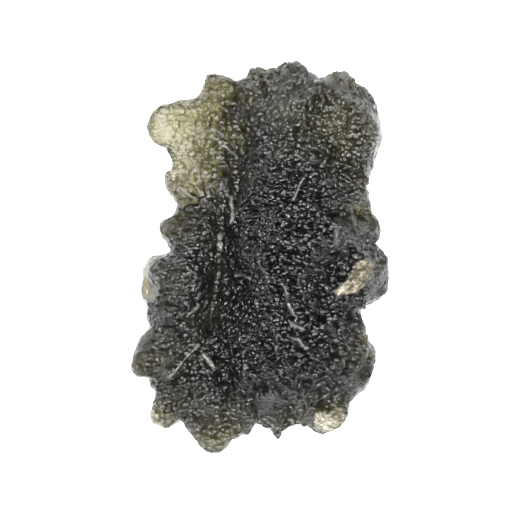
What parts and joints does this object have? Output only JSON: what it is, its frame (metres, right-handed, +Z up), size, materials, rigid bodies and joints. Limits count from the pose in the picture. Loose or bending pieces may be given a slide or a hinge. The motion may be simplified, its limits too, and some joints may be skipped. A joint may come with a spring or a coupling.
{
  "type": "moldavite",
  "caption": "Raw piece of green impact glass: one thick etched slab with a valley, ribs and lobed rim, lying on its back.",
  "frame": {"origin": "middle of the stone's width and length, at the ground it lies on", "axes": "+Z up out of the sculpted face, +Y along the stone's length, +X across it towards the thick side"},
  "size_m": [0.0266, 0.04, 0.0122],
  "materials": {
    "tektite_glass": "etched bottle-green glass, satin with bright crests, two rough tan chips"
  },
  "bodies": {
    "root": {"moldavite": "tektite_glass"}
  },
  "joints": []
}
